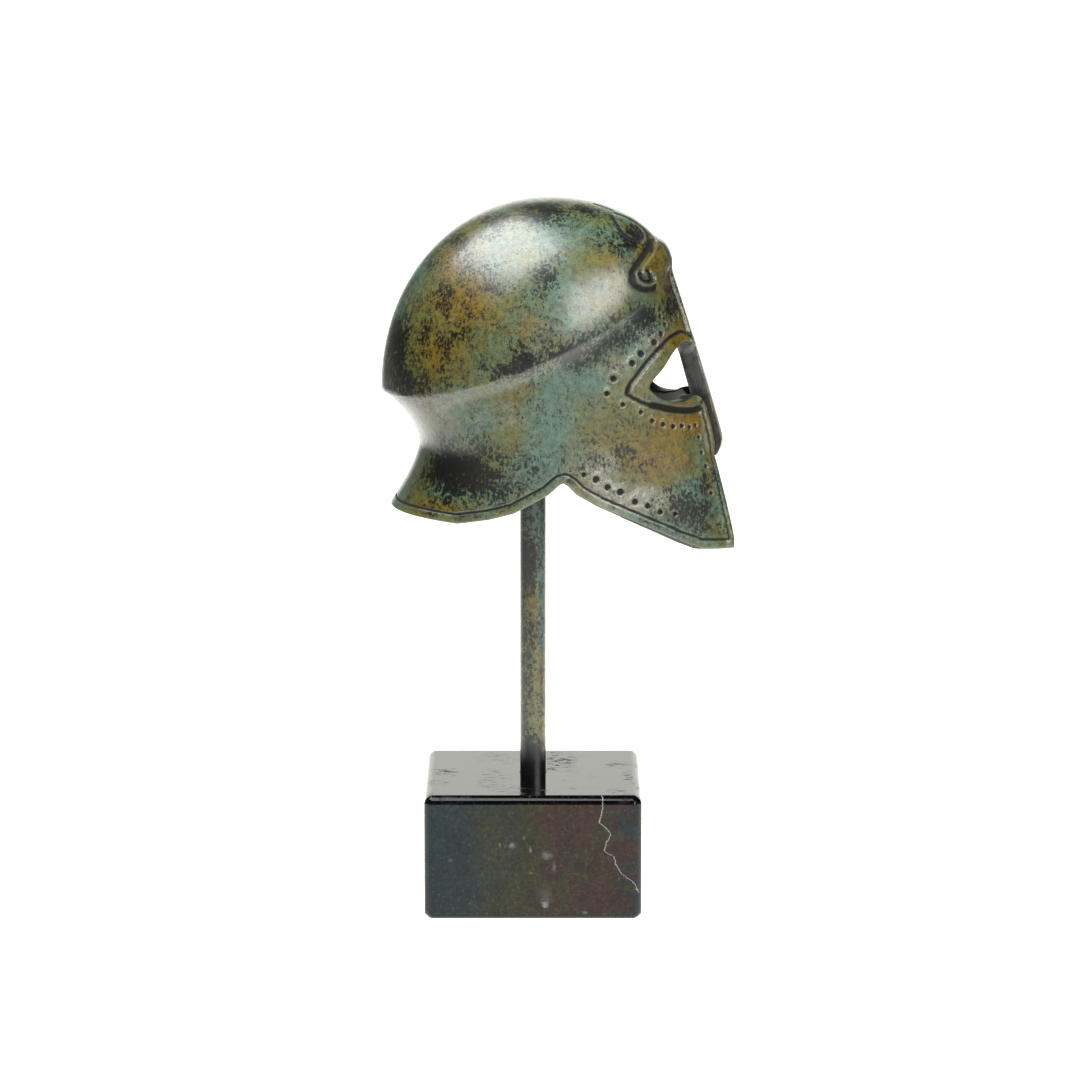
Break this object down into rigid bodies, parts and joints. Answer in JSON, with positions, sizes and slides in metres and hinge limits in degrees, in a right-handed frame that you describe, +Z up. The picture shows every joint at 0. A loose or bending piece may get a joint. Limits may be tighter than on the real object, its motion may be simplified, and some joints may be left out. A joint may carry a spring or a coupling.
{
  "type": "corinthian helmet on a rod stand",
  "caption": "Small bronze corinthian helmet with nasal and cheek guards, flared neck guard and brow scrolls, held on a rod over a marble block.",
  "frame": {"origin": "centre of the marble block's underside, on the rod's axis", "axes": "+Z up along the rod, +X the way the helmet faces, +Y the helmet's left"},
  "size_m": [0.0816, 0.052, 0.1644],
  "materials": {
    "patinated_bronze": "verdigris, ochre and black patina over cast bronze, waxed to a satin sheen",
    "rod_metal": "dark green and brown patina, satin",
    "black_marble": "polished black marble with pale veins"
  },
  "bodies": {
    "root": {"helmet_shell": "patinated_bronze", "stand_rod": "rod_metal", "marble_base": "black_marble"}
  },
  "joints": []
}
